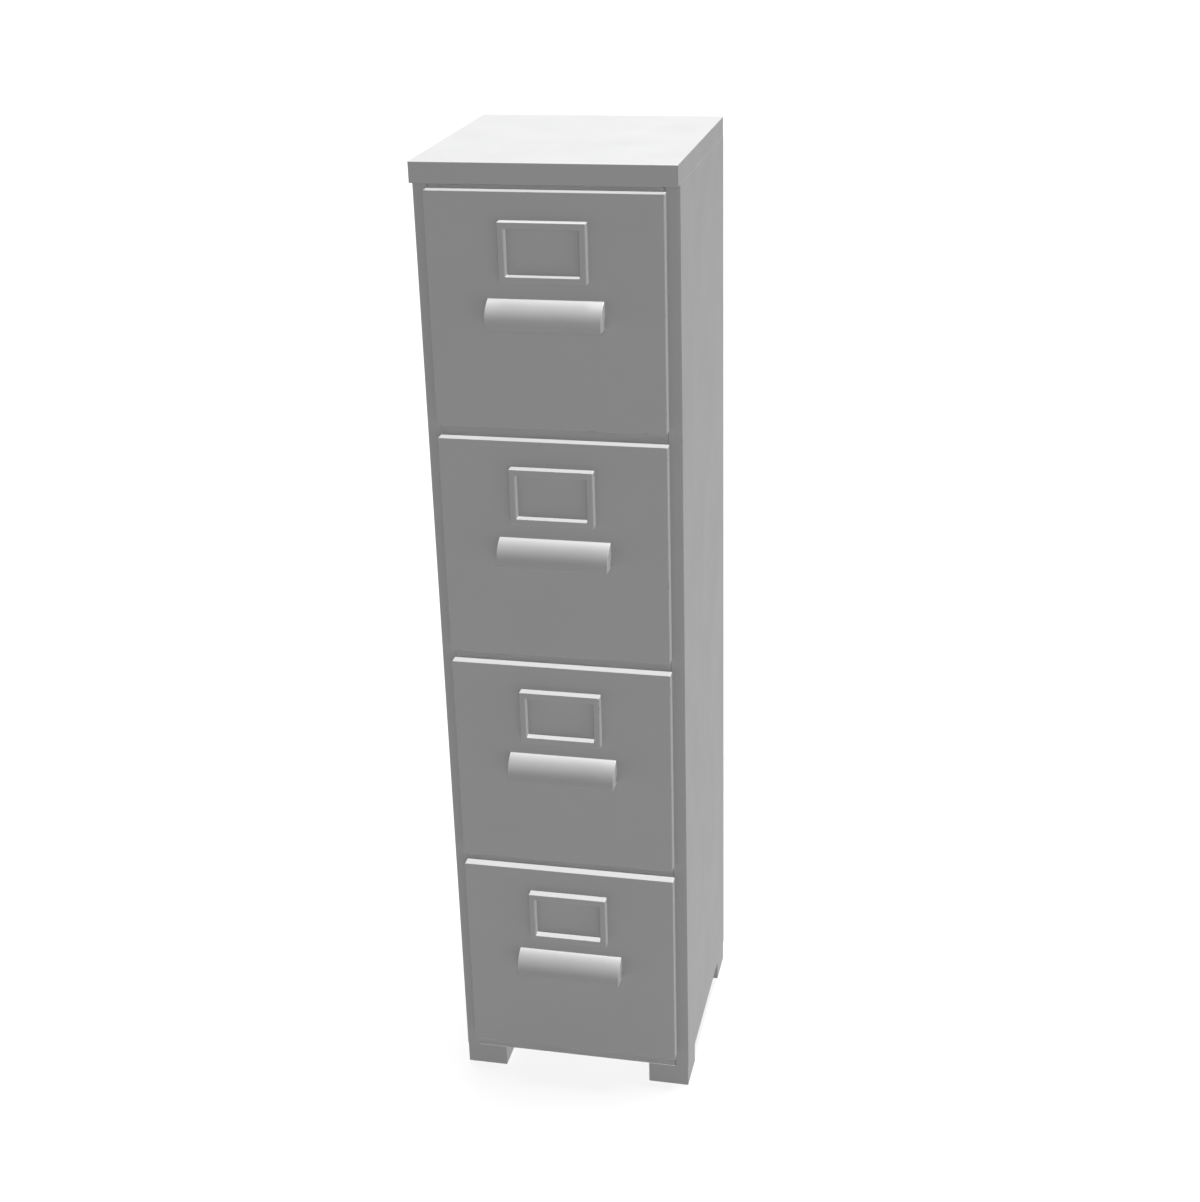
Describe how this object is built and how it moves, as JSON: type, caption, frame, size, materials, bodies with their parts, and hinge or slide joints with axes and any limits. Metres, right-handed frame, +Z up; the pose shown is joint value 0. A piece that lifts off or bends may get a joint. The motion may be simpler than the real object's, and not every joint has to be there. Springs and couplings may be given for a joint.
{
  "type": "metal filing cabinet",
  "caption": "Tall narrow steel filing cabinet with stacked drawers on full-extension ball slides, hood pulls, raised label frames and box feet.",
  "frame": {"origin": "on the floor, under the middle of the cabinet, halfway from the noses of its pulls to its back", "axes": "+Z up, drawers open towards -Y, +X to the right of someone facing the drawers"},
  "size_m": [0.33, 0.3684, 1.326],
  "materials": {
    "grey_enamel": "satin",
    "drawer_steel": "satin",
    "zinc_steel": "satin",
    "glide_plastic": "matte"
  },
  "bodies": {
    "case": {"top_cap": "grey_enamel", "left_side_panel": "grey_enamel", "right_side_panel": "grey_enamel", "back_panel": "grey_enamel", "base_pan": "grey_enamel", "top_rail": "grey_enamel", "middle_rails": "grey_enamel", "bottom_rail": "grey_enamel", "feet": "grey_enamel", "foot_glides": "glide_plastic", "foot_bolts": "zinc_steel", "foot_nuts": "zinc_steel", "slide_uprights": "zinc_steel", "slide_outer_members": "zinc_steel", "slide_screws": "zinc_steel", "cap_screws": "zinc_steel"},
    "drawer_1": {"drawer_1_front": "grey_enamel", "drawer_1_inner_front": "grey_enamel", "drawer_1_body": "drawer_steel", "drawer_1_back": "drawer_steel", "drawer_1_pull": "grey_enamel", "drawer_1_label_frame": "grey_enamel", "drawer_1_screws": "zinc_steel", "drawer_1_inner_slides": "zinc_steel"},
    "drawer_1_middle_members": {"drawer_1_middle_slides": "zinc_steel"},
    "drawer_1_outer_ball_cages": {"drawer_1_outer_cages": "zinc_steel"},
    "drawer_1_inner_ball_cages": {"drawer_1_inner_cages": "zinc_steel"},
    "drawer_2": {"drawer_2_front": "grey_enamel", "drawer_2_inner_front": "grey_enamel", "drawer_2_body": "drawer_steel", "drawer_2_back": "drawer_steel", "drawer_2_pull": "grey_enamel", "drawer_2_label_frame": "grey_enamel", "drawer_2_screws": "zinc_steel", "drawer_2_inner_slides": "zinc_steel"},
    "drawer_2_middle_members": {"drawer_2_middle_slides": "zinc_steel"},
    "drawer_2_outer_ball_cages": {"drawer_2_outer_cages": "zinc_steel"},
    "drawer_2_inner_ball_cages": {"drawer_2_inner_cages": "zinc_steel"},
    "drawer_3": {"drawer_3_front": "grey_enamel", "drawer_3_inner_front": "grey_enamel", "drawer_3_body": "drawer_steel", "drawer_3_back": "drawer_steel", "drawer_3_pull": "grey_enamel", "drawer_3_label_frame": "grey_enamel", "drawer_3_screws": "zinc_steel", "drawer_3_inner_slides": "zinc_steel"},
    "drawer_3_middle_members": {"drawer_3_middle_slides": "zinc_steel"},
    "drawer_3_outer_ball_cages": {"drawer_3_outer_cages": "zinc_steel"},
    "drawer_3_inner_ball_cages": {"drawer_3_inner_cages": "zinc_steel"},
    "drawer_4": {"drawer_4_front": "grey_enamel", "drawer_4_inner_front": "grey_enamel", "drawer_4_body": "drawer_steel", "drawer_4_back": "drawer_steel", "drawer_4_pull": "grey_enamel", "drawer_4_label_frame": "grey_enamel", "drawer_4_screws": "zinc_steel", "drawer_4_inner_slides": "zinc_steel"},
    "drawer_4_middle_members": {"drawer_4_middle_slides": "zinc_steel"},
    "drawer_4_outer_ball_cages": {"drawer_4_outer_cages": "zinc_steel"},
    "drawer_4_inner_ball_cages": {"drawer_4_inner_cages": "zinc_steel"}
  },
  "joints": [
    {"name": "drawer_1_slide", "type": "slide", "parent": "case", "child": "drawer_1", "axis": [0, -1, 0], "range_m": [0, 0.3]},
    {"name": "drawer_1_middle_slide", "type": "slide", "parent": "case", "child": "drawer_1_middle_members", "axis": [0, -1, 0], "range_m": [0, 0.15]},
    {"name": "drawer_1_outer_cage_roll", "type": "slide", "parent": "case", "child": "drawer_1_outer_ball_cages", "axis": [0, -1, 0], "range_m": [0, 0.075]},
    {"name": "drawer_1_inner_cage_roll", "type": "slide", "parent": "case", "child": "drawer_1_inner_ball_cages", "axis": [0, -1, 0], "range_m": [0, 0.225]},
    {"name": "drawer_2_slide", "type": "slide", "parent": "case", "child": "drawer_2", "axis": [0, -1, 0], "range_m": [0, 0.3]},
    {"name": "drawer_2_middle_slide", "type": "slide", "parent": "case", "child": "drawer_2_middle_members", "axis": [0, -1, 0], "range_m": [0, 0.15]},
    {"name": "drawer_2_outer_cage_roll", "type": "slide", "parent": "case", "child": "drawer_2_outer_ball_cages", "axis": [0, -1, 0], "range_m": [0, 0.075]},
    {"name": "drawer_2_inner_cage_roll", "type": "slide", "parent": "case", "child": "drawer_2_inner_ball_cages", "axis": [0, -1, 0], "range_m": [0, 0.225]},
    {"name": "drawer_3_slide", "type": "slide", "parent": "case", "child": "drawer_3", "axis": [0, -1, 0], "range_m": [0, 0.3]},
    {"name": "drawer_3_middle_slide", "type": "slide", "parent": "case", "child": "drawer_3_middle_members", "axis": [0, -1, 0], "range_m": [0, 0.15]},
    {"name": "drawer_3_outer_cage_roll", "type": "slide", "parent": "case", "child": "drawer_3_outer_ball_cages", "axis": [0, -1, 0], "range_m": [0, 0.075]},
    {"name": "drawer_3_inner_cage_roll", "type": "slide", "parent": "case", "child": "drawer_3_inner_ball_cages", "axis": [0, -1, 0], "range_m": [0, 0.225]},
    {"name": "drawer_4_slide", "type": "slide", "parent": "case", "child": "drawer_4", "axis": [0, -1, 0], "range_m": [0, 0.3]},
    {"name": "drawer_4_middle_slide", "type": "slide", "parent": "case", "child": "drawer_4_middle_members", "axis": [0, -1, 0], "range_m": [0, 0.15]},
    {"name": "drawer_4_outer_cage_roll", "type": "slide", "parent": "case", "child": "drawer_4_outer_ball_cages", "axis": [0, -1, 0], "range_m": [0, 0.075]},
    {"name": "drawer_4_inner_cage_roll", "type": "slide", "parent": "case", "child": "drawer_4_inner_ball_cages", "axis": [0, -1, 0], "range_m": [0, 0.225]}
  ],
  "couplings": [
    {"joint": "drawer_1_middle_slide", "follows": "drawer_1_slide", "ratio": 0.5},
    {"joint": "drawer_1_outer_cage_roll", "follows": "drawer_1_slide", "ratio": 0.25},
    {"joint": "drawer_1_inner_cage_roll", "follows": "drawer_1_slide", "ratio": 0.75},
    {"joint": "drawer_2_middle_slide", "follows": "drawer_2_slide", "ratio": 0.5},
    {"joint": "drawer_2_outer_cage_roll", "follows": "drawer_2_slide", "ratio": 0.25},
    {"joint": "drawer_2_inner_cage_roll", "follows": "drawer_2_slide", "ratio": 0.75},
    {"joint": "drawer_3_middle_slide", "follows": "drawer_3_slide", "ratio": 0.5},
    {"joint": "drawer_3_outer_cage_roll", "follows": "drawer_3_slide", "ratio": 0.25},
    {"joint": "drawer_3_inner_cage_roll", "follows": "drawer_3_slide", "ratio": 0.75},
    {"joint": "drawer_4_middle_slide", "follows": "drawer_4_slide", "ratio": 0.5},
    {"joint": "drawer_4_outer_cage_roll", "follows": "drawer_4_slide", "ratio": 0.25},
    {"joint": "drawer_4_inner_cage_roll", "follows": "drawer_4_slide", "ratio": 0.75}
  ]
}
